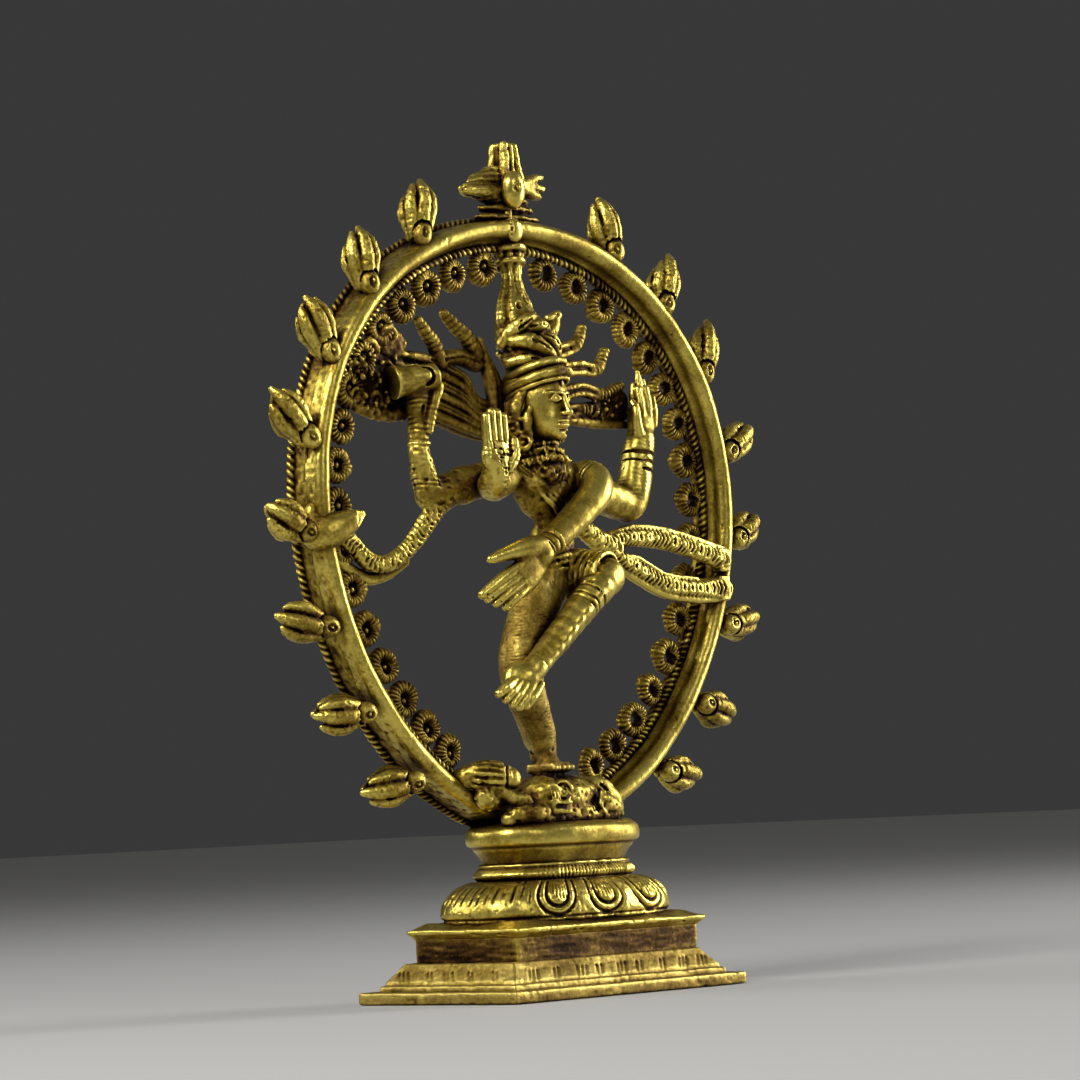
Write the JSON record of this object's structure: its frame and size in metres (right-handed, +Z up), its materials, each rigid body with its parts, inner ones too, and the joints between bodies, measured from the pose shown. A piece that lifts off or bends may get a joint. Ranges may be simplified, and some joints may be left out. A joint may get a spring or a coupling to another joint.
{
  "type": "dancing figure statue",
  "caption": "Small cast brass statue of a four-armed dancing figure on a dwarf, inside a ring of flames on a stepped lotus plinth",
  "frame": {"origin": "centre of the underside of the plinth, where the statue rests", "axes": "+Z up, the statue faces -Y, +X to the viewer's right seen from the front"},
  "size_m": [0.1387, 0.0414, 0.165],
  "materials": {
    "polished_brass": "hand-polished high spots with brown patina in the recesses",
    "aged_brass": "as-cast and chiselled, brown patina"
  },
  "bodies": {
    "root": {"arm_front_left": "polished_brass", "arm_front_right": "polished_brass", "arm_rear_left": "polished_brass", "arm_rear_right": "polished_brass", "armlets": "polished_brass", "beaded_collar": "aged_brass", "cone_knob": "polished_brass", "crescent": "aged_brass", "crest_finial": "polished_brass", "crest_foot": "aged_brass", "crest_leaf": "polished_brass", "crest_spindle": "polished_brass", "drum": "polished_brass", "dwarf_body": "polished_brass", "dwarf_bud": "aged_brass", "dwarf_head": "polished_brass", "earrings": "aged_brass", "feather_crest": "aged_brass", "flame_left_1": "polished_brass", "flame_left_2": "polished_brass", "flame_left_3": "polished_brass", "flame_left_4": "polished_brass", "flame_left_5": "polished_brass", "flame_left_6": "polished_brass", "flame_left_7": "polished_brass", "flame_left_8": "polished_brass", "flame_right_1": "polished_brass", "flame_right_2": "polished_brass", "flame_right_3": "polished_brass", "flame_right_4": "polished_brass", "flame_right_5": "polished_brass", "flame_right_6": "polished_brass", "flame_right_7": "polished_brass", "flame_right_8": "polished_brass", "hair_fan_left": "aged_brass", "hair_knot": "aged_brass", "hair_locks_right": "aged_brass", "hand_flame": "polished_brass", "head": "polished_brass", "headbands": "polished_brass", "inner_rope": "aged_brass", "leg_raised": "polished_brass", "leg_standing": "polished_brass", "lotus_cushion": "polished_brass", "necklace": "aged_brass", "outer_rope": "aged_brass", "plinth_flange": "polished_brass", "plinth_moulding": "polished_brass", "plinth_neck": "aged_brass", "plinth_slab": "polished_brass", "ring_band": "aged_brass", "ring_hoop": "polished_brass", "rosettes_left": "aged_brass", "rosettes_right": "aged_brass", "sash_left": "polished_brass", "sash_right": "polished_brass", "seat_disc": "polished_brass", "torso": "polished_brass"}
  },
  "joints": []
}
